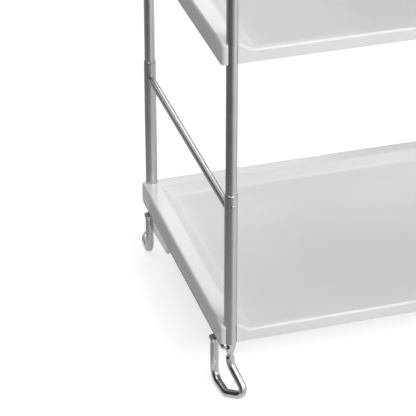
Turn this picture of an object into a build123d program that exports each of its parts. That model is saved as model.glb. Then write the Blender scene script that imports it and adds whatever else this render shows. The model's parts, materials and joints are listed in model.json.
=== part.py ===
from build123d import *
import os

# Three-tier free-standing shelf rack: moulded trays on tube posts with bent-rod loop feet.
# Millimetres. +Z is up, the open front of the trays faces -Y, the origin is on the floor at the
# centre of the footprint.

# ---- overall ----
TRAY_WIDTH = 600.0          # outside, along X
TRAY_DEPTH = 340.0          # outside, along Y
TIER_COUNT = 3
TIER_PITCH = 350.0          # rim to rim, up the rack
LOWEST_RIM = 92.0           # rim of the lowest tray above the floor

# ---- tray moulding ----
SKIRT_HEIGHT = 23.5
TRAY_WALL = 3.0
CORNER_RADIUS = 5.0
INNER_CORNER_RADIUS = 2.2
RIM_WIDTH = 21.0            # flat top of the raised rim
RIM_SLOPE = 13.0            # plan width of the slope from rim to floor
FLOOR_DROP = 8.5            # floor below the rim
RIM_EDGE_RADIUS = 3.2
RIM_INNER_RADIUS = 5.0
FLOOR_FILLET = 12.0
SLOPE_RISE = 4.0            # basin cutter's slope carried on above the rim
CUTTER_OVERRUN = 20.0       # basin cutter past the front face
EDGE_TOLERANCE = 0.6        # how near an edge lies to the face it is looked for on
RIB_THICKNESS = 2.4
RIB_COUNT_X = 5
RIB_COUNT_Y = 2
RIB_CLEARANCE = 2.0         # rib foot above the skirt's lower edge

# ---- posts ----
POST_INSET = 12.4           # post axis inboard of the tray's side
POST_END_INSET = 4.0        # post axis inboard of the tray's front or rear end
POST_GAP = 0.3              # post clear of its notch in the tray, on the radius
UPPER_POST_DIAMETER = 12.7
UPPER_POST_WALL = 1.0
LOWER_POST_WALL = 0.85
SLIDE_CLEARANCE = 0.2       # upper post in the lower one, on the diameter
LOWER_POST_DIAMETER = UPPER_POST_DIAMETER + 2 * LOWER_POST_WALL + SLIDE_CLEARANCE
JOINT_HEIGHT = 167.0        # mouth of the lower post above the lowest rim
JOINT_OVERLAP = 32.0
STOP_BEAD_RADIUS = 0.9
POST_TOP = 30.0             # post end above the top rim

# ---- crossbars and rails ----
ROD_DIAMETER = 9.0
CROSSBAR_HEIGHT = 146.0     # above the rim of its own tier
WELD_GAP = 0.05
RAIL_INSET = 5.5            # rail axis inboard of the tray's side
RAIL_OVERHANG = 4.0         # rail end past the post axis
RAIL_END_FLAT = 0.6         # radius left flat on the domed rail ends

# ---- feet ----
FOOT_ROD_DIAMETER = 9.8
STEM_DIAMETER = 7.0
STEM_GRIP = 16.0            # stem inside the ferrule
FERRULE_TAPER = 14.0
FERRULE_PLUG = 18.0
FERRULE_NOSE_DIAMETER = 8.6
FERRULE_TOP_BELOW_RIM = 24.0
STEM_BEND_SHARE = 0.421     # height of the stem's bend, as a share of the lowest rim's
SHOULDER_ABOVE_BEND = 8.0   # full rod ends here and steps down to the stem
SHOULDER_HEIGHT = 3.0
TOE_OUT = 29.0              # toe in front of the post axis
TOE_ACROSS = 11.3            # toe inboard of the post axis
TOE_HEIGHT = 10.2
HEEL_ACROSS = 10.7          # heel leg outboard of the post axis
HEEL_IN = 25.8              # heel leg behind the post axis
SOLE_OUT = 8.9              # end of the sole in front of the post axis
SOLE_ACROSS = 7.5
FOOT_RADIUS_SHARES = (0.152, 0.076, 0.109, 0.163)   # bend radii, shares of the same height
HEEL_COLLAR_DIAMETER = 12.6
HEEL_COLLAR_HEIGHT = 6.0
HEEL_TOP_BELOW_RAIL = 4.0   # top of the heel leg below the rail's axis

# ---- rear brace ----
BRACE_LENGTH = 74.0
BRACE_DEEP = 15.0
BRACE_SHALLOW = 10.0
BRACE_THICKNESS = 7.0

# ---- small parts ----
SCREW_DIAMETER = 4.0
SCREW_HEAD_DIAMETER = 6.4
SCREW_HEAD_HEIGHT = 2.2
SCREW_LENGTH = 11.0
SCREW_BELOW_RIM = 14.0
HOLE_CLEARANCE = 0.1        # on the diameter
HEAD_ROUNDING = 0.45        # share of the head's height that is rounded
HOLE_START = 1.5            # screw hole cutter starts this far before the screw's seat
HOLE_OVERRUN = 0.6          # and ends this far past the post's axis
BUTTON_DIAMETER = 4.6
BUTTON_PROUD = 1.0
BUTTON_BELOW_MOUTH = 12.0
CAP_SKIRT = 9.0
CAP_WALL = 1.3
CAP_TOP = 3.0
CAP_PLUG = 10.0
DOME_ROUNDING = 0.8         # share of a cap's or a button's height that is rounded
FIT_CLEARANCE = 0.05        # on the radius

# ---- positions worked out from the sizes above ----
LOWER_POST_RADIUS = LOWER_POST_DIAMETER / 2
UPPER_POST_RADIUS = UPPER_POST_DIAMETER / 2
POST_X = TRAY_WIDTH / 2 - POST_INSET
POST_Y = TRAY_DEPTH / 2 - POST_END_INSET
BOSS_REACH = LOWER_POST_RADIUS + POST_GAP + TRAY_WALL     # from the post axis
SCREW_SEAT_Y = POST_Y - BOSS_REACH
RIM_LEVELS = [LOWEST_RIM + tier * TIER_PITCH for tier in range(TIER_COUNT)]
JOINT_Z = LOWEST_RIM + JOINT_HEIGHT
FERRULE_TOP_Z = LOWEST_RIM - FERRULE_TOP_BELOW_RIM
POST_TOP_Z = RIM_LEVELS[-1] + POST_TOP
RAIL_X = TRAY_WIDTH / 2 - RAIL_INSET
RAIL_Z = LOWEST_RIM - SKIRT_HEIGHT - ROD_DIAMETER / 2
HEEL_TOP_Z = RAIL_Z - HEEL_TOP_BELOW_RAIL

TIER_NAMES = ("lower", "middle", "upper")
CORNERS = {
    "front_left": (-1, -1),
    "front_right": (1, -1),
    "rear_left": (-1, 1),
    "rear_right": (1, 1),
}
SIDES = {"left": -1, "right": 1}


def rod_along_y(x, z, y_low, y_high, diameter):
    """Plain round bar lying along Y."""
    bar = Cylinder(diameter / 2, y_high - y_low, rotation=(90, 0, 0))
    return Pos(x, (y_low + y_high) / 2, z) * bar


def tube(outer_diameter, wall, z_low, z_high):
    """Upright tube on the Z axis."""
    length = z_high - z_low
    body = Cylinder(outer_diameter / 2, length) - Cylinder(outer_diameter / 2 - wall, length + 2)
    return Pos(0, 0, (z_low + z_high) / 2) * body


def basin_cutter():
    """Solid that opens the tray's shallow basin: sloped on three sides, open at the front."""
    front = -TRAY_DEPTH / 2 - CUTTER_OVERRUN
    top = RIM_WIDTH
    bottom = RIM_WIDTH + RIM_SLOPE

    def outline(inset, z):
        x = TRAY_WIDTH / 2 - inset
        y = TRAY_DEPTH / 2 - inset
        return Pos(0, 0, z) * make_face(Polyline((-x, front), (x, front), (x, y), (-x, y), close=True))

    # carry the slope on above the rim, so that the cut breaks cleanly through the top
    extra = RIM_SLOPE * SLOPE_RISE / FLOOR_DROP
    return loft([outline(bottom, -FLOOR_DROP), outline(top - extra, SLOPE_RISE)])


def tray_blank():
    """Solid tray with its basin and rounded edges, rim at Z 0."""
    block = Pos(0, 0, -SKIRT_HEIGHT / 2) * Box(TRAY_WIDTH, TRAY_DEPTH, SKIRT_HEIGHT)
    block = fillet(block.edges().filter_by(Axis.Z), CORNER_RADIUS)
    blank = block - basin_cutter()
    floor_edges = [
        edge for edge in blank.edges()
        if abs(edge.center().Z + FLOOR_DROP) < 0.01
        and edge.center().Y > -TRAY_DEPTH / 2 + 1
    ]
    blank = fillet(floor_edges, FLOOR_FILLET)
    inner_edges = [
        edge for edge in blank.edges()
        if abs(edge.center().Z) < 0.01
        and abs(edge.center().X) < TRAY_WIDTH / 2 - RIM_WIDTH + 0.5
        and edge.center().Y < TRAY_DEPTH / 2 - RIM_WIDTH + 0.5
        and edge.center().Y > -TRAY_DEPTH / 2 + 1
    ]
    return fillet(inner_edges, RIM_INNER_RADIUS)


def round_outer_edge(blank):
    """Round the outside edge of the rim and of the front lip."""
    reach = EDGE_TOLERANCE
    outer = []
    for edge in blank.edges():
        box = edge.bounding_box()
        on_side = box.size.X < reach and abs(abs(edge.center().X) - TRAY_WIDTH / 2) < reach
        on_rear = box.size.Y < reach and abs(edge.center().Y - TRAY_DEPTH / 2) < reach
        on_front = box.size.Y < reach and abs(edge.center().Y + TRAY_DEPTH / 2) < reach
        on_corner = (
            abs(box.size.X - CORNER_RADIUS) < 0.1
            and abs(box.size.Y - CORNER_RADIUS) < 0.1
            and box.size.Z < 0.1
        )
        if edge.center().Z > -SKIRT_HEIGHT + 1 and (on_side or on_rear or on_front or on_corner):
            if box.size.Z < FLOOR_DROP + 1 and edge.length > 1:
                outer.append(edge)
    return fillet(outer, RIM_EDGE_RADIUS)


def tray_cavity():
    """Hollow under the tray: one wide recess below the floor and a deeper one below the rims."""
    inner_width = TRAY_WIDTH - 2 * TRAY_WALL
    inner_depth = TRAY_DEPTH - 2 * TRAY_WALL
    ceiling = FLOOR_DROP + TRAY_WALL
    height = SKIRT_HEIGHT - ceiling
    wide = Pos(0, 0, -SKIRT_HEIGHT + height / 2) * Box(inner_width, inner_depth, height)
    wide = fillet(wide.edges().filter_by(Axis.Z), INNER_CORNER_RADIUS)
    rim_height = ceiling - TRAY_WALL
    ledge = RIM_WIDTH - TRAY_WALL
    deep = None
    for sign in (-1, 1):
        x = sign * (inner_width / 2 - ledge / 2)
        strip = Pos(x, 0, -ceiling + rim_height / 2) * Box(ledge, inner_depth, rim_height)
        deep = strip if deep is None else deep + strip
    rear = Pos(0, inner_depth / 2 - ledge / 2, -ceiling + rim_height / 2)
    deep = deep + rear * Box(inner_width, ledge, rim_height)
    outline = Pos(0, 0, -ceiling + rim_height / 2) * Box(inner_width, inner_depth, rim_height)
    outline = fillet(outline.edges().filter_by(Axis.Z), INNER_CORNER_RADIUS)
    return wide + (deep & outline)


def tray_ribs():
    """Stiffening ribs across the wide recess."""
    ceiling = FLOOR_DROP + TRAY_WALL
    height = SKIRT_HEIGHT - ceiling - RIB_CLEARANCE
    z = -ceiling - height / 2
    inner_width = TRAY_WIDTH - 2 * TRAY_WALL
    inner_depth = TRAY_DEPTH - 2 * TRAY_WALL
    ribs = []
    for index in range(RIB_COUNT_X):
        x = -inner_width / 2 + inner_width * (index + 1) / (RIB_COUNT_X + 1)
        ribs.append(Pos(x, 0, z) * Box(RIB_THICKNESS, inner_depth, height))
    for index in range(RIB_COUNT_Y):
        y = -inner_depth / 2 + inner_depth * (index + 1) / (RIB_COUNT_Y + 1)
        ribs.append(Pos(0, y, z) * Box(inner_width, RIB_THICKNESS, height))
    return ribs


def screw_places(rim_level):
    """Each tray screw: its post's x, the side of Y it is on, and its height."""
    return [(side * POST_X, end, rim_level - SCREW_BELOW_RIM) for side, end in CORNERS.values()]


def screw_hole(x, end, z, diameter):
    """Cutter through the tray's boss and the near wall of the post, up to the post's axis."""
    length = HOLE_START + BOSS_REACH + HOLE_OVERRUN
    hole = Cylinder(diameter / 2, length, rotation=(90, 0, 0))
    return Pos(x, end * (SCREW_SEAT_Y - HOLE_START + length / 2), z) * hole


def post_block(side, end):
    """Upright block round a post, as large as the tray's boss."""
    depth = BOSS_REACH + POST_END_INSET
    block = Box(2 * BOSS_REACH, depth, SKIRT_HEIGHT)
    return Pos(side * POST_X, end * (SCREW_SEAT_Y + depth / 2), -SKIRT_HEIGHT / 2) * block


def make_tray(rim_level, post_radius):
    """Moulded tray: underside recess, ribs, and at each post a boss with a notch and a hole."""
    blank = round_outer_edge(tray_blank())
    tray = blank - tray_cavity()
    for rib in tray_ribs():
        tray = tray + rib
    for side, end in CORNERS.values():
        tray = tray + (blank & post_block(side, end))
    for side, end in CORNERS.values():
        notch = Cylinder(post_radius + POST_GAP, 4 * SKIRT_HEIGHT)
        tray = tray - Pos(side * POST_X, end * POST_Y, 0) * notch
    tray = Pos(0, 0, rim_level) * tray
    for x, end, z in screw_places(rim_level):
        tray = tray - screw_hole(x, end, z, SCREW_DIAMETER + HOLE_CLEARANCE)
    return tray


def make_tray_screws(rim_level):
    """Four pan-head screws, driven outwards from inside the tray into the posts."""
    screws = []
    for x, end, z in screw_places(rim_level):
        seat = SCREW_SEAT_Y
        shank = Cylinder(SCREW_DIAMETER / 2, SCREW_LENGTH, rotation=(90, 0, 0))
        head = Cylinder(SCREW_HEAD_DIAMETER / 2, SCREW_HEAD_HEIGHT, rotation=(90, 0, 0))
        inner = head.faces().sort_by(Axis.Y)[0 if end > 0 else -1]
        head = fillet(inner.edges(), SCREW_HEAD_HEIGHT * HEAD_ROUNDING)
        shank = Pos(x, end * (seat + SCREW_LENGTH / 2), z) * shank
        head = Pos(x, end * (seat - SCREW_HEAD_HEIGHT / 2), z) * head
        screws.append(shank + head)
    return screws


def side_rod(side, z, post_radius):
    """Crossbar between the front and the rear post of one side, coped to both tubes."""
    x = side * POST_X
    bar = rod_along_y(x, z, -POST_Y, POST_Y, ROD_DIAMETER)
    for end in (-1, 1):
        cope = Cylinder(post_radius + WELD_GAP, 4 * ROD_DIAMETER)
        bar = bar - Pos(x, end * POST_Y, z) * cope
    return bar


def make_bottom_rail(side):
    """Rod under the side of the lowest tray, with domed ends beside the posts."""
    reach = POST_Y + RAIL_OVERHANG
    rail = rod_along_y(side * RAIL_X, RAIL_Z, -reach, reach, ROD_DIAMETER)
    return fillet(rail.edges().filter_by(GeomType.CIRCLE), ROD_DIAMETER / 2 - RAIL_END_FLAT)


def rail_cutter(side):
    """The bottom rail grown by the weld gap, to cope the parts that touch it."""
    reach = 2 * POST_Y
    return rod_along_y(side * RAIL_X, RAIL_Z, -reach, reach, ROD_DIAMETER + 2 * WELD_GAP)


def make_lower_post(side, end):
    """Lower tube, from the ferrule to the joint, with its screw and button holes."""
    x = side * POST_X
    y = end * POST_Y
    post = Pos(x, y, 0) * tube(LOWER_POST_DIAMETER, LOWER_POST_WALL, FERRULE_TOP_Z, JOINT_Z)
    z = LOWEST_RIM - SCREW_BELOW_RIM
    post = post - screw_hole(x, end, z, SCREW_DIAMETER + HOLE_CLEARANCE) - rail_cutter(side)
    return post - button_pin(side, end, BUTTON_DIAMETER + HOLE_CLEARANCE)


def make_upper_post(side, end):
    """Upper tube: its lower end slides into the lower post and a rolled bead rests on the mouth."""
    x = side * POST_X
    y = end * POST_Y
    post = tube(UPPER_POST_DIAMETER, UPPER_POST_WALL, JOINT_Z - JOINT_OVERLAP, POST_TOP_Z)
    bead = Torus(UPPER_POST_RADIUS, STOP_BEAD_RADIUS)
    bead = bead - Cylinder(UPPER_POST_RADIUS - UPPER_POST_WALL, 4 * STOP_BEAD_RADIUS)
    post = Pos(x, y, 0) * (post + Pos(0, 0, JOINT_Z + STOP_BEAD_RADIUS) * bead)
    for rim_level in RIM_LEVELS[1:]:
        z = rim_level - SCREW_BELOW_RIM
        post = post - screw_hole(x, end, z, SCREW_DIAMETER + HOLE_CLEARANCE)
    return post - button_pin(side, end, BUTTON_DIAMETER + HOLE_CLEARANCE)


def button_pin(side, end, diameter):
    """Round pin through the outward wall of both tubes, just below the joint."""
    length = LOWER_POST_WALL + UPPER_POST_WALL + 2 * BUTTON_PROUD + FIT_CLEARANCE
    pin = Cylinder(diameter / 2, length, rotation=(90, 0, 0))
    y = end * (POST_Y + LOWER_POST_RADIUS + BUTTON_PROUD - length / 2)
    return Pos(side * POST_X, y, JOINT_Z - BUTTON_BELOW_MOUTH) * pin


def make_snap_button(side, end):
    """Domed button that locks the two post sections together."""
    pin = button_pin(side, end, BUTTON_DIAMETER)
    outer = pin.faces().sort_by(Axis.Y)[-1 if end > 0 else 0]
    return fillet(outer.edges(), BUTTON_PROUD * DOME_ROUNDING)


def make_ferrule(side, end):
    """Tapered plug in the foot of the post, bored for the foot's stem."""
    x = side * POST_X
    y = end * POST_Y
    taper = Cone(FERRULE_NOSE_DIAMETER / 2, LOWER_POST_RADIUS, FERRULE_TAPER)
    taper = Pos(0, 0, FERRULE_TOP_Z - FERRULE_TAPER / 2) * taper
    plug_radius = LOWER_POST_RADIUS - LOWER_POST_WALL - FIT_CLEARANCE
    plug_height = FERRULE_PLUG
    hole_z = LOWEST_RIM - SCREW_BELOW_RIM
    plug = Pos(0, 0, FERRULE_TOP_Z + plug_height / 2) * Cylinder(plug_radius, plug_height)
    bore = Cylinder(STEM_DIAMETER / 2 + FIT_CLEARANCE, STEM_GRIP)
    bore = Pos(0, 0, FERRULE_TOP_Z - FERRULE_TAPER + STEM_GRIP / 2) * bore
    ferrule = Pos(x, y, 0) * (taper + plug - bore)
    ferrule = ferrule - screw_hole(x, end, hole_z, SCREW_DIAMETER + HOLE_CLEARANCE)
    return ferrule - rail_cutter(side)


def make_foot(side, end):
    """Loop foot bent from one rod: a thin stem in the ferrule, toe, flat sole and heel leg."""
    sole_z = FOOT_ROD_DIAMETER / 2
    bend_z = LOWEST_RIM * STEM_BEND_SHARE
    shoulder_z = bend_z + SHOULDER_ABOVE_BEND
    stem_top_z = FERRULE_TOP_Z - FERRULE_TAPER + STEM_GRIP
    # drawn for the front left corner, then mirrored
    points = [
        (0, 0, shoulder_z),
        (0, 0, bend_z),
        (TOE_ACROSS, -TOE_OUT, TOE_HEIGHT),
        (-SOLE_ACROSS, -SOLE_OUT, sole_z),
        (-HEEL_ACROSS, HEEL_IN, sole_z),
        (-HEEL_ACROSS, HEEL_IN, HEEL_TOP_Z),
    ]
    radii = [LOWEST_RIM * share for share in FOOT_RADIUS_SHARES]
    path = FilletPolyline(*points, radius=radii)
    profile = Plane(origin=path @ 0, z_dir=path % 0) * Circle(FOOT_ROD_DIAMETER / 2)
    rod = sweep(profile, path=path)
    shoulder = Cone(FOOT_ROD_DIAMETER / 2, STEM_DIAMETER / 2, SHOULDER_HEIGHT)
    shoulder = Pos(0, 0, shoulder_z + SHOULDER_HEIGHT / 2) * shoulder
    stem_low = shoulder_z + SHOULDER_HEIGHT
    stem = Cylinder(STEM_DIAMETER / 2, stem_top_z - stem_low)
    stem = Pos(0, 0, (stem_low + stem_top_z) / 2) * stem
    collar_low = HEEL_TOP_Z - HEEL_COLLAR_HEIGHT
    collar = Cone(FOOT_ROD_DIAMETER / 2, HEEL_COLLAR_DIAMETER / 2, HEEL_COLLAR_HEIGHT)
    collar = Pos(-HEEL_ACROSS, HEEL_IN, collar_low + HEEL_COLLAR_HEIGHT / 2) * collar
    foot = rod + shoulder + stem + collar
    if side > 0:
        foot = mirror(foot, Plane.YZ)
    if end > 0:
        foot = mirror(foot, Plane.XZ)
    foot = Pos(side * POST_X, end * POST_Y, 0) * foot
    return foot - rail_cutter(side)


def make_rear_brace(side):
    """Tapered web under the bottom rail, from the rear heel leg forwards."""
    heel_y = POST_Y - HEEL_IN
    start = heel_y - FOOT_ROD_DIAMETER / 2 - WELD_GAP
    top = RAIL_Z
    web = make_face(Plane.YZ * Polyline(
        (start, top),
        (start, top - ROD_DIAMETER / 2 - BRACE_DEEP),
        (start - BRACE_LENGTH, top - ROD_DIAMETER / 2 - BRACE_SHALLOW),
        (start - BRACE_LENGTH, top),
        close=True,
    ))
    brace = extrude(web, BRACE_THICKNESS / 2, both=True)
    brace = Pos(side * RAIL_X, 0, 0) * brace
    leg = Cylinder(HEEL_COLLAR_DIAMETER / 2 + WELD_GAP, 4 * BRACE_DEEP)
    leg = Pos(side * (POST_X + HEEL_ACROSS), heel_y, RAIL_Z) * leg
    brace = brace - rail_cutter(side) - leg
    return brace.solids().sort_by(Axis.Z)[0]


def make_cap(side, end):
    """Domed cap over the end of the post, with a plug inside the tube."""
    radius = UPPER_POST_RADIUS + FIT_CLEARANCE + CAP_WALL
    top = Pos(0, 0, POST_TOP_Z + WELD_GAP + CAP_TOP / 2) * Cylinder(radius, CAP_TOP)
    top = fillet(top.edges().filter_by(GeomType.CIRCLE).sort_by(Axis.Z)[-1], CAP_TOP * DOME_ROUNDING)
    skirt = tube(2 * radius, CAP_WALL, POST_TOP_Z - CAP_SKIRT, POST_TOP_Z + WELD_GAP)
    plug_radius = UPPER_POST_RADIUS - UPPER_POST_WALL - FIT_CLEARANCE
    plug = Cylinder(plug_radius, CAP_PLUG + WELD_GAP)
    plug = Pos(0, 0, POST_TOP_Z + WELD_GAP - (CAP_PLUG + WELD_GAP) / 2) * plug
    return Pos(side * POST_X, end * POST_Y, 0) * (top + skirt + plug)


def build():
    """Every sub-part of the rack by node name."""
    parts = {}
    for name, rim_level in zip(TIER_NAMES, RIM_LEVELS):
        post_radius = LOWER_POST_RADIUS if name == "lower" else UPPER_POST_RADIUS
        parts[f"{name}_tray"] = make_tray(rim_level, post_radius)
        parts[f"{name}_tray_screws"] = Compound(children=make_tray_screws(rim_level))
    for name, (side, end) in CORNERS.items():
        parts[f"lower_post_{name}"] = make_lower_post(side, end)
        parts[f"upper_post_{name}"] = make_upper_post(side, end)
        parts[f"ferrule_{name}"] = make_ferrule(side, end)
        parts[f"loop_foot_{name}"] = make_foot(side, end)
        parts[f"post_cap_{name}"] = make_cap(side, end)
    for name, side in SIDES.items():
        low_z = RIM_LEVELS[0] + CROSSBAR_HEIGHT
        high_z = RIM_LEVELS[1] + CROSSBAR_HEIGHT
        parts[f"lower_crossbar_{name}"] = side_rod(side, low_z, LOWER_POST_RADIUS)
        parts[f"upper_crossbar_{name}"] = side_rod(side, high_z, UPPER_POST_RADIUS)
        parts[f"bottom_rail_{name}"] = make_bottom_rail(side)
        parts[f"rear_brace_{name}"] = make_rear_brace(side)
    buttons = [make_snap_button(side, end) for side, end in CORNERS.values()]
    parts["snap_buttons"] = Compound(children=buttons)
    return parts


os.makedirs("parts", exist_ok=True)
for node, shape in build().items():
    export_step(shape, f"parts/{node}.step")
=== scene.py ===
"""Looks for a tiered shelf rack: moulded white trays on chromed tube posts with loop feet."""
import json
import math

import bpy
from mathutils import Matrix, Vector


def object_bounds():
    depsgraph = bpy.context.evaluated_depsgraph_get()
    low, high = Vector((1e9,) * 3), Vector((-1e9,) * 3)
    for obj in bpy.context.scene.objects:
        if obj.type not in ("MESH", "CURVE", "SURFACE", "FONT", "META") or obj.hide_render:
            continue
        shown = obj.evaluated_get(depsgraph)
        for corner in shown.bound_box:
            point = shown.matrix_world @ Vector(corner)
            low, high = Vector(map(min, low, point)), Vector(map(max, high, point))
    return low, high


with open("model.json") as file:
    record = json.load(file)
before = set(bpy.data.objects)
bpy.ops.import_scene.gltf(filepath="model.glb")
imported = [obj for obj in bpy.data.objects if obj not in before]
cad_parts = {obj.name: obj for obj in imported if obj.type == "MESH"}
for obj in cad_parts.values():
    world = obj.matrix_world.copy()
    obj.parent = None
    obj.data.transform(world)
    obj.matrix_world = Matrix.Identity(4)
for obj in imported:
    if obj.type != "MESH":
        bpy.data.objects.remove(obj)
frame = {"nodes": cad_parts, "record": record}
cad_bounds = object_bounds()

# ---- camera, left of the front, looking down on the lower left corner ----
CAMERA_PLACE = (-0.8676, -2.0151, 1.4022)
CAMERA_YAW = math.radians(16.677)       # turned from +Y towards +X
CAMERA_PITCH = math.radians(30.887)     # below the horizon
CAMERA_LENS = 180.68                    # millimetres
SENSOR_WIDTH = 36.0

# ---- white plastic of the trays ----
TRAY_COOL_WHITE = (0.865, 0.868, 0.872)
TRAY_WARM_WHITE = (0.905, 0.905, 0.902)
TRAY_FLOOR_ROUGHNESS = (0.62, 0.74)     # grained floor: clean, scuffed
TRAY_RIM_ROUGHNESS = (0.16, 0.26)       # polished rim: clean, scuffed
TRAY_SPECULAR = 0.4
SCUFF_RANGE = (0.55, 0.8)               # noise values from clean to scuffed
# Where the polish starts and ends on a tray, in metres from the rack's middle.
SIDE_RIM_STARTS = (0.258, 0.266)
SIDE_SKIRT_STARTS = (0.2975, 0.2995)
REAR_RIM_STARTS = (0.128, 0.136)
FRONT_LIP_STARTS = (-0.162, -0.166)

# ---- metals and the plastic of the post caps ----
CHROME_TINT = (0.60, 0.605, 0.615)
CHROME_CLOUD_SHADE = 0.9                # tint of the cloudy patches, against the clean plate
CHROME_CLOUD_DULLNESS = 0.09            # roughness that the patches add
TUBE_ROUGHNESS = 0.20
FOOT_ROUGHNESS = 0.18
ACROSS_DRAWING = 1500.0                 # scale of the drawing lines, across them
ALONG_DRAWING = 9.0                     # and along them
Y_AXIS, Z_AXIS = 1, 2
STEEL_COLOURS = ((0.46, 0.46, 0.47), (0.62, 0.62, 0.61))
STEEL_ROUGHNESS = (0.24, 0.42)
CAP_COLOURS = ((0.62, 0.63, 0.64), (0.70, 0.70, 0.71))
CAP_ROUGHNESS = (0.42, 0.56)
CLOUD_RANGE = (0.3, 0.7)                # noise values that span a change of tone

# ---- studio: lengths in metres, brightness from 0 to 1, lamp power in watts ----
UPRIGHT = math.radians(90)
FLOOR_SIZE = 12
FLOOR_CLEARANCE = 0.0002                # the floor lies this far under the feet
FLOOR_GREY = 0.62
FLOOR_GLOW_SEEN = 0.72                  # glow that the camera sees
FLOOR_GLOW_MIRRORED = 0.42              # glow that the chrome mirrors
AMBIENT = 0.16
DARK_CARD = 0.05
GREY_CARD = 0.45
# The card on the floor is shaded by how far it is from the rack, behind it and to its right.
CARD_NEAR = ((0.02, 0.5), (0.42, 0.15))
CARD_BEHIND = ((-0.1, 1.2), (0.14, 0.55))
CARD_RIGHT = ((-0.45, 0.9), (0.14, 0.92))
LEAST_FRONT_GAP = 0.01
FLOOR_CARD_LEVEL = 0.001                # height of the card over the floor
FLOOR_CARD_LEFT, FLOOR_CARD_RIGHT = -4.0, 2.5
FLOOR_CARD_FRONT, FLOOR_CARD_REAR = -4.0, 3.0
FLOOR_CARD_GAP = 0.03                   # from the rack's outline
FLOOR_CARD_UNDER = 0.05                 # how far it runs along the rack's front
LEFT_CARD_GAP = 1.9                     # from the rack's left side
LAMPS = (
    # name, place, aim (None is the rack's middle), width, height, power
    ("key", (1.4, -3.95, 3.4), None, 2.6, 1.9, 178),
    ("left_high", (-1.35, 0.0, 5.0), None, 1.3, 2.4, 38),
    ("back_high", (0.5, 2.1, 4.6), None, 2.8, 1.5, 34),
    ("back_window", (0.5, 2.6, 1.85), (-0.3, 0, 0.3), 0.7, 1.0, 4.6),
    ("right_fill", (4.5, -0.9, 2.4), None, 2.4, 2.6, 26),
)


def bare_material(name):
    """Material that holds nothing but its output."""
    material = bpy.data.materials.new(name)
    material.use_nodes = True
    nodes = material.node_tree.nodes
    nodes.clear()
    return material, nodes, material.node_tree.links, nodes.new("ShaderNodeOutputMaterial")


def new_material(name):
    """Material with a Principled shader."""
    material, nodes, links, output = bare_material(name)
    shader = nodes.new("ShaderNodeBsdfPrincipled")
    links.new(shader.outputs["BSDF"], output.inputs["Surface"])
    return material, nodes, links, shader


def object_point(nodes):
    """Texture point in metres, in the part's own frame."""
    return nodes.new("ShaderNodeTexCoord").outputs["Object"]


def stretched(nodes, links, point, scale):
    """The same point with each axis scaled."""
    mapping = nodes.new("ShaderNodeMapping")
    mapping.inputs["Scale"].default_value = scale
    links.new(point, mapping.inputs["Vector"])
    return mapping.outputs["Vector"]


def noise(nodes, links, point, scale, detail=4.0, roughness=0.55):
    """Fractal noise factor."""
    texture = nodes.new("ShaderNodeTexNoise")
    texture.inputs["Scale"].default_value = scale
    texture.inputs["Detail"].default_value = detail
    texture.inputs["Roughness"].default_value = roughness
    links.new(point, texture.inputs["Vector"])
    return texture.outputs["Fac"]


def remap(nodes, links, value, span, to_span=(0.0, 1.0)):
    """Value from one range to another, clamped."""
    node = nodes.new("ShaderNodeMapRange")
    node.inputs["From Min"].default_value = span[0]
    node.inputs["From Max"].default_value = span[1]
    node.inputs["To Min"].default_value = to_span[0]
    node.inputs["To Max"].default_value = to_span[1]
    links.new(value, node.inputs["Value"])
    return node.outputs["Result"]


def mixed_colour(nodes, links, factor, first, second):
    """Colour between two fixed ones."""
    mix = nodes.new("ShaderNodeMix")
    mix.data_type = "RGBA"
    mix.inputs["A"].default_value = (*first, 1.0)
    mix.inputs["B"].default_value = (*second, 1.0)
    links.new(factor, mix.inputs["Factor"])
    return mix.outputs["Result"]


def bump(nodes, links, height, strength, distance, under=None):
    """Bump normal, laid over another one."""
    node = nodes.new("ShaderNodeBump")
    node.inputs["Strength"].default_value = strength
    node.inputs["Distance"].default_value = distance
    links.new(height, node.inputs["Height"])
    if under is not None:
        links.new(under, node.inputs["Normal"])
    return node.outputs["Normal"]


def blend(nodes, links, factor, first, second):
    """Value between two others."""
    mix = nodes.new("ShaderNodeMix")
    mix.data_type = "FLOAT"
    links.new(factor, mix.inputs["Factor"])
    links.new(first, mix.inputs["A"])
    links.new(second, mix.inputs["B"])
    return mix.outputs["Result"]


def math_node(nodes, links, operation, first, second=None):
    """Result of a math node; each operand is a socket or a number."""
    node = nodes.new("ShaderNodeMath")
    node.operation = operation
    for index, operand in enumerate((first, second)):
        if operand is None:
            continue
        if isinstance(operand, (int, float)):
            node.inputs[index].default_value = operand
        else:
            links.new(operand, node.inputs[index])
    return node.outputs[0]


def rim_mask(nodes, links, point):
    """One on the tray's rim and slopes, nought on its grained floor and side skirts."""
    split = nodes.new("ShaderNodeSeparateXYZ")
    links.new(point, split.inputs[0])
    side = math_node(nodes, links, "ABSOLUTE", split.outputs["X"])
    inner_side = remap(nodes, links, side, SIDE_RIM_STARTS)
    outer_side = remap(nodes, links, side, SIDE_SKIRT_STARTS, (1.0, 0.0))
    at_side = math_node(nodes, links, "MULTIPLY", inner_side, outer_side)
    at_rear = remap(nodes, links, split.outputs["Y"], REAR_RIM_STARTS)
    at_front = remap(nodes, links, split.outputs["Y"], FRONT_LIP_STARTS)
    sides = math_node(nodes, links, "MAXIMUM", at_side, at_rear)
    return math_node(nodes, links, "MAXIMUM", sides, at_front)


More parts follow.
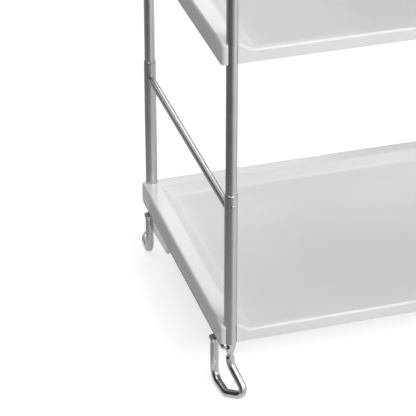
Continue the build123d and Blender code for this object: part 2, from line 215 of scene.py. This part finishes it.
def tray_plastic():
    """White injection-moulded plastic: satin gloss, faint flow mottling and fine scuffs."""
    material, nodes, links, shader = new_material("tray_plastic")
    point = object_point(nodes)
    along_scuffs = stretched(nodes, links, point, (14, 420, 60))
    mottle = noise(nodes, links, point, scale=9.0, detail=5.0)
    grain = noise(nodes, links, point, scale=900.0, detail=3.0)
    waviness = noise(nodes, links, point, scale=26.0, detail=2.0)
    scuffs = noise(nodes, links, along_scuffs, scale=1.0, detail=6.0, roughness=0.7)
    tone = remap(nodes, links, mottle, CLOUD_RANGE)
    colour = mixed_colour(nodes, links, tone, TRAY_COOL_WHITE, TRAY_WARM_WHITE)
    links.new(colour, shader.inputs["Base Color"])
    rim = rim_mask(nodes, links, point)
    floor_gloss = remap(nodes, links, scuffs, SCUFF_RANGE, TRAY_FLOOR_ROUGHNESS)
    rim_gloss = remap(nodes, links, scuffs, SCUFF_RANGE, TRAY_RIM_ROUGHNESS)
    links.new(blend(nodes, links, rim, floor_gloss, rim_gloss), shader.inputs["Roughness"])
    shader.inputs["Specular IOR Level"].default_value = TRAY_SPECULAR
    wavy = bump(nodes, links, waviness, strength=0.25, distance=0.0006)
    grained = bump(nodes, links, grain, strength=0.12, distance=0.00012, under=wavy)
    links.new(grained, shader.inputs["Normal"])
    return material


def chrome(name, draw_axis, roughness):
    """Chrome plate with faint drawing lines along the stock and small cloudy patches."""
    material, nodes, links, shader = new_material(name)
    point = object_point(nodes)
    stretch = [ACROSS_DRAWING] * 3
    if draw_axis is not None:
        stretch[draw_axis] = ALONG_DRAWING
    drawing = stretched(nodes, links, point, stretch)
    lines = noise(nodes, links, drawing, scale=1.0, detail=3.0)
    clouds = noise(nodes, links, point, scale=42.0, detail=4.0)
    specks = noise(nodes, links, point, scale=1300.0, detail=2.0)
    tone = remap(nodes, links, clouds, (0.3, 0.75))
    shaded = tuple(channel * CHROME_CLOUD_SHADE for channel in CHROME_TINT)
    colour = mixed_colour(nodes, links, tone, shaded, CHROME_TINT)
    links.new(colour, shader.inputs["Base Color"])
    shader.inputs["Metallic"].default_value = 1.0
    dullest = roughness + CHROME_CLOUD_DULLNESS
    dull = remap(nodes, links, clouds, (0.35, 0.8), (roughness, dullest))
    links.new(dull, shader.inputs["Roughness"])
    drawn = bump(nodes, links, lines, strength=0.10, distance=0.00008)
    speckled = bump(nodes, links, specks, strength=0.05, distance=0.00005, under=drawn)
    links.new(speckled, shader.inputs["Normal"])
    return material


def screw_steel():
    """Zinc-plated steel, dull with a turned face."""
    material, nodes, links, shader = new_material("screw_steel")
    point = object_point(nodes)
    clouds = noise(nodes, links, point, scale=300.0, detail=4.0)
    fine = noise(nodes, links, point, scale=3000.0, detail=2.0)
    tone = remap(nodes, links, clouds, CLOUD_RANGE)
    links.new(mixed_colour(nodes, links, tone, *STEEL_COLOURS), shader.inputs["Base Color"])
    shader.inputs["Metallic"].default_value = 1.0
    dull = remap(nodes, links, clouds, CLOUD_RANGE, STEEL_ROUGHNESS)
    links.new(dull, shader.inputs["Roughness"])
    turned = bump(nodes, links, fine, strength=0.2, distance=0.00005)
    links.new(turned, shader.inputs["Normal"])
    return material


def cap_plastic():
    """Pale grey moulded plastic with a fine spark-eroded texture."""
    material, nodes, links, shader = new_material("cap_plastic")
    point = object_point(nodes)
    clouds = noise(nodes, links, point, scale=120.0, detail=3.0)
    grain = noise(nodes, links, point, scale=1800.0, detail=3.0)
    tone = remap(nodes, links, clouds, CLOUD_RANGE)
    links.new(mixed_colour(nodes, links, tone, *CAP_COLOURS), shader.inputs["Base Color"])
    dull = remap(nodes, links, grain, CLOUD_RANGE, CAP_ROUGHNESS)
    links.new(dull, shader.inputs["Roughness"])
    grained = bump(nodes, links, grain, strength=0.25, distance=0.0001)
    links.new(grained, shader.inputs["Normal"])
    return material


FINISH_BY_SLOT = {
    "tray_plastic": tray_plastic(),
    "post_chrome": chrome("post_chrome", Z_AXIS, TUBE_ROUGHNESS),
    "rod_chrome": chrome("rod_chrome", Y_AXIS, TUBE_ROUGHNESS),
    "foot_chrome": chrome("foot_chrome", None, FOOT_ROUGHNESS),
    "screw_steel": screw_steel(),
    "cap_plastic": cap_plastic(),
}


def dress(node, finish):
    """Give a CAD node its finish."""
    obj = frame["nodes"][node]
    obj.data.materials.clear()
    obj.data.materials.append(finish)


for entry in frame["record"]["subparts"]:
    dress(entry["node"], FINISH_BY_SLOT[entry["material_slot"]])


def stage_sheet(name, outline, place=(0, 0, 0), turn=(0, 0, 0)):
    """Flat sheet for the studio, from its outline."""
    mesh = bpy.data.meshes.new(name)
    mesh.from_pydata(outline, [], [tuple(range(len(outline)))])
    sheet = bpy.data.objects.new(name, mesh)
    bpy.context.scene.collection.objects.link(sheet)
    sheet.location = place
    sheet.rotation_euler = turn
    return sheet


def stage_plane(name, size_x, size_y, place, turn=(0, 0, 0)):
    """Flat rectangle for the studio."""
    x = size_x / 2
    y = size_y / 2
    corners = [(-x, -y, 0), (x, -y, 0), (x, y, 0), (-x, y, 0)]
    return stage_sheet(name, corners, place, turn)


def floor_material():
    """White floor that shows full white to the camera and keeps a soft shadow."""
    material, nodes, links, output = bare_material("studio_floor")
    add = nodes.new("ShaderNodeAddShader")
    diffuse = nodes.new("ShaderNodeBsdfDiffuse")
    diffuse.inputs["Color"].default_value = (FLOOR_GREY, FLOOR_GREY, FLOOR_GREY, 1)
    glow = nodes.new("ShaderNodeEmission")
    path = nodes.new("ShaderNodeLightPath")
    camera_ray, glossy_ray = path.outputs["Is Camera Ray"], path.outputs["Is Glossy Ray"]
    seen = math_node(nodes, links, "MULTIPLY", camera_ray, FLOOR_GLOW_SEEN)
    mirrored = math_node(nodes, links, "MULTIPLY", glossy_ray, FLOOR_GLOW_MIRRORED)
    links.new(math_node(nodes, links, "MAXIMUM", seen, mirrored), glow.inputs["Strength"])
    links.new(diffuse.outputs[0], add.inputs[0])
    links.new(glow.outputs[0], add.inputs[1])
    links.new(add.outputs[0], output.inputs["Surface"])
    return material


def card_material(name, level):
    """Studio card of one brightness."""
    material, nodes, links, output = bare_material(name)
    glow = nodes.new("ShaderNodeEmission")
    glow.inputs["Color"].default_value = (level, level, level, 1)
    glow.inputs["Strength"].default_value = 1.0
    links.new(glow.outputs[0], output.inputs["Surface"])
    return material


def floor_card_material():
    """Card on the floor: dark left of the rack, paler near it, behind it and to the right."""
    material = card_material("floor_card", 1.0)
    nodes = material.node_tree.nodes
    links = material.node_tree.links
    split = nodes.new("ShaderNodeSeparateXYZ")
    links.new(nodes.new("ShaderNodeNewGeometry").outputs["Position"], split.inputs[0])
    x, y = split.outputs["X"], split.outputs["Y"]
    low = Vector(cad_bounds[0])
    left_gap = math_node(nodes, links, "SUBTRACT", low.x, x)
    front_gap = math_node(nodes, links, "SUBTRACT", low.y, y)
    gap = math_node(nodes, links, "MAXIMUM", left_gap, front_gap)
    near = remap(nodes, links, gap, *CARD_NEAR)
    behind = remap(nodes, links, y, *CARD_BEHIND)
    right_gap = math_node(nodes, links, "SUBTRACT", x, low.x)
    ahead = math_node(nodes, links, "MAXIMUM", front_gap, LEAST_FRONT_GAP)
    bearing = math_node(nodes, links, "DIVIDE", right_gap, ahead)
    right = remap(nodes, links, bearing, *CARD_RIGHT)
    level = math_node(nodes, links, "MAXIMUM", near, behind)
    level = math_node(nodes, links, "MAXIMUM", level, right)
    glow = next(node for node in nodes if node.type == "EMISSION")
    links.new(level, glow.inputs["Color"])
    return material


def hide_from_all_but_reflections(sheet):
    """Only glossy rays see it."""
    sheet.visible_camera = False
    sheet.visible_diffuse = False
    sheet.visible_shadow = False
    sheet.visible_transmission = False


def card(name, size_x, size_y, place, turn, material):
    """Card that only reflections see."""
    sheet = stage_plane(name, size_x, size_y, place, turn)
    sheet.data.materials.append(material)
    hide_from_all_but_reflections(sheet)


def floor_card(material):
    """Card on the floor in front of the rack and to its left."""
    low = Vector(cad_bounds[0])
    front = low.y - FLOOR_CARD_GAP
    left = low.x - FLOOR_CARD_GAP
    corners = (
        (FLOOR_CARD_LEFT, FLOOR_CARD_FRONT),
        (FLOOR_CARD_RIGHT, FLOOR_CARD_FRONT),
        (low.x + FLOOR_CARD_UNDER, front),
        (left, front),
        (left, FLOOR_CARD_REAR),
        (FLOOR_CARD_LEFT, FLOOR_CARD_REAR),
    )
    sheet = stage_sheet("floor_card", [(x, y, FLOOR_CARD_LEVEL) for x, y in corners])
    sheet.data.materials.append(material)
    hide_from_all_but_reflections(sheet)


def area_light(name, place, aim, size_x, size_y, power):
    """Rectangular softbox."""
    data = bpy.data.lights.new(name, "AREA")
    data.shape = "RECTANGLE"
    data.size = size_x
    data.size_y = size_y
    data.energy = power
    lamp = bpy.data.objects.new(name, data)
    bpy.context.scene.collection.objects.link(lamp)
    lamp.location = place
    direction = Vector(aim) - Vector(place)
    lamp.rotation_euler = direction.to_track_quat("-Z", "Y").to_euler()


def make_world():
    """White surroundings for the camera and reflections, dimmer ambient light."""
    world = bpy.data.worlds.new("studio")
    world.use_nodes = True
    nodes = world.node_tree.nodes
    links = world.node_tree.links
    nodes.clear()
    output = nodes.new("ShaderNodeOutputWorld")
    seen = nodes.new("ShaderNodeBackground")
    seen.inputs["Strength"].default_value = 1.0
    ambient = nodes.new("ShaderNodeBackground")
    ambient.inputs["Strength"].default_value = AMBIENT
    mix = nodes.new("ShaderNodeMixShader")
    path = nodes.new("ShaderNodeLightPath").outputs
    direct = math_node(nodes, links, "MAXIMUM", path["Is Camera Ray"], path["Is Glossy Ray"])
    direct = math_node(nodes, links, "MAXIMUM", direct, path["Is Transmission Ray"])
    links.new(direct, mix.inputs["Fac"])
    links.new(ambient.outputs[0], mix.inputs[1])
    links.new(seen.outputs[0], mix.inputs[2])
    links.new(mix.outputs[0], output.inputs["Surface"])
    bpy.context.scene.world = world


def make_studio():
    """Floor, cards for the chrome to mirror, lamps and surroundings."""
    low, high = Vector(cad_bounds[0]), Vector(cad_bounds[1])
    floor = stage_plane("floor", FLOOR_SIZE, FLOOR_SIZE, (0, 0, low.z - FLOOR_CLEARANCE))
    floor.data.materials.append(floor_material())
    dark = card_material("dark_card", DARK_CARD)
    grey = card_material("grey_card", GREY_CARD)
    floor_card(floor_card_material())
    left = (low.x - LEFT_CARD_GAP, 0.3, 1.6)
    card("wall_card_left", 4.0, 7.0, left, (0, UPRIGHT, 0), dark)
    card("wall_card_low", 5.0, 0.75, (0.9, 2.6, 0.1), (UPRIGHT, 0, 0), dark)
    card("wall_card_high", 5.0, 1.4, (0.9, 2.9, 3.1), (UPRIGHT, 0, 0), grey)
    middle = (low + high) / 2
    for name, place, aim, width, height, power in LAMPS:
        area_light(name, place, aim or middle, width, height, power)
    make_world()


def make_camera():
    """Camera left of the front, looking down on the lower left corner."""
    data = bpy.data.cameras.new("camera")
    data.lens = CAMERA_LENS
    data.sensor_width = SENSOR_WIDTH
    data.sensor_fit = "HORIZONTAL"
    camera = bpy.data.objects.new("camera", data)
    bpy.context.scene.collection.objects.link(camera)
    camera.location = CAMERA_PLACE
    camera.rotation_euler = (math.pi / 2 - CAMERA_PITCH, 0, -CAMERA_YAW)
    bpy.context.scene.camera = camera


make_studio()
make_camera()
bpy.context.scene.view_settings.view_transform = "Standard"
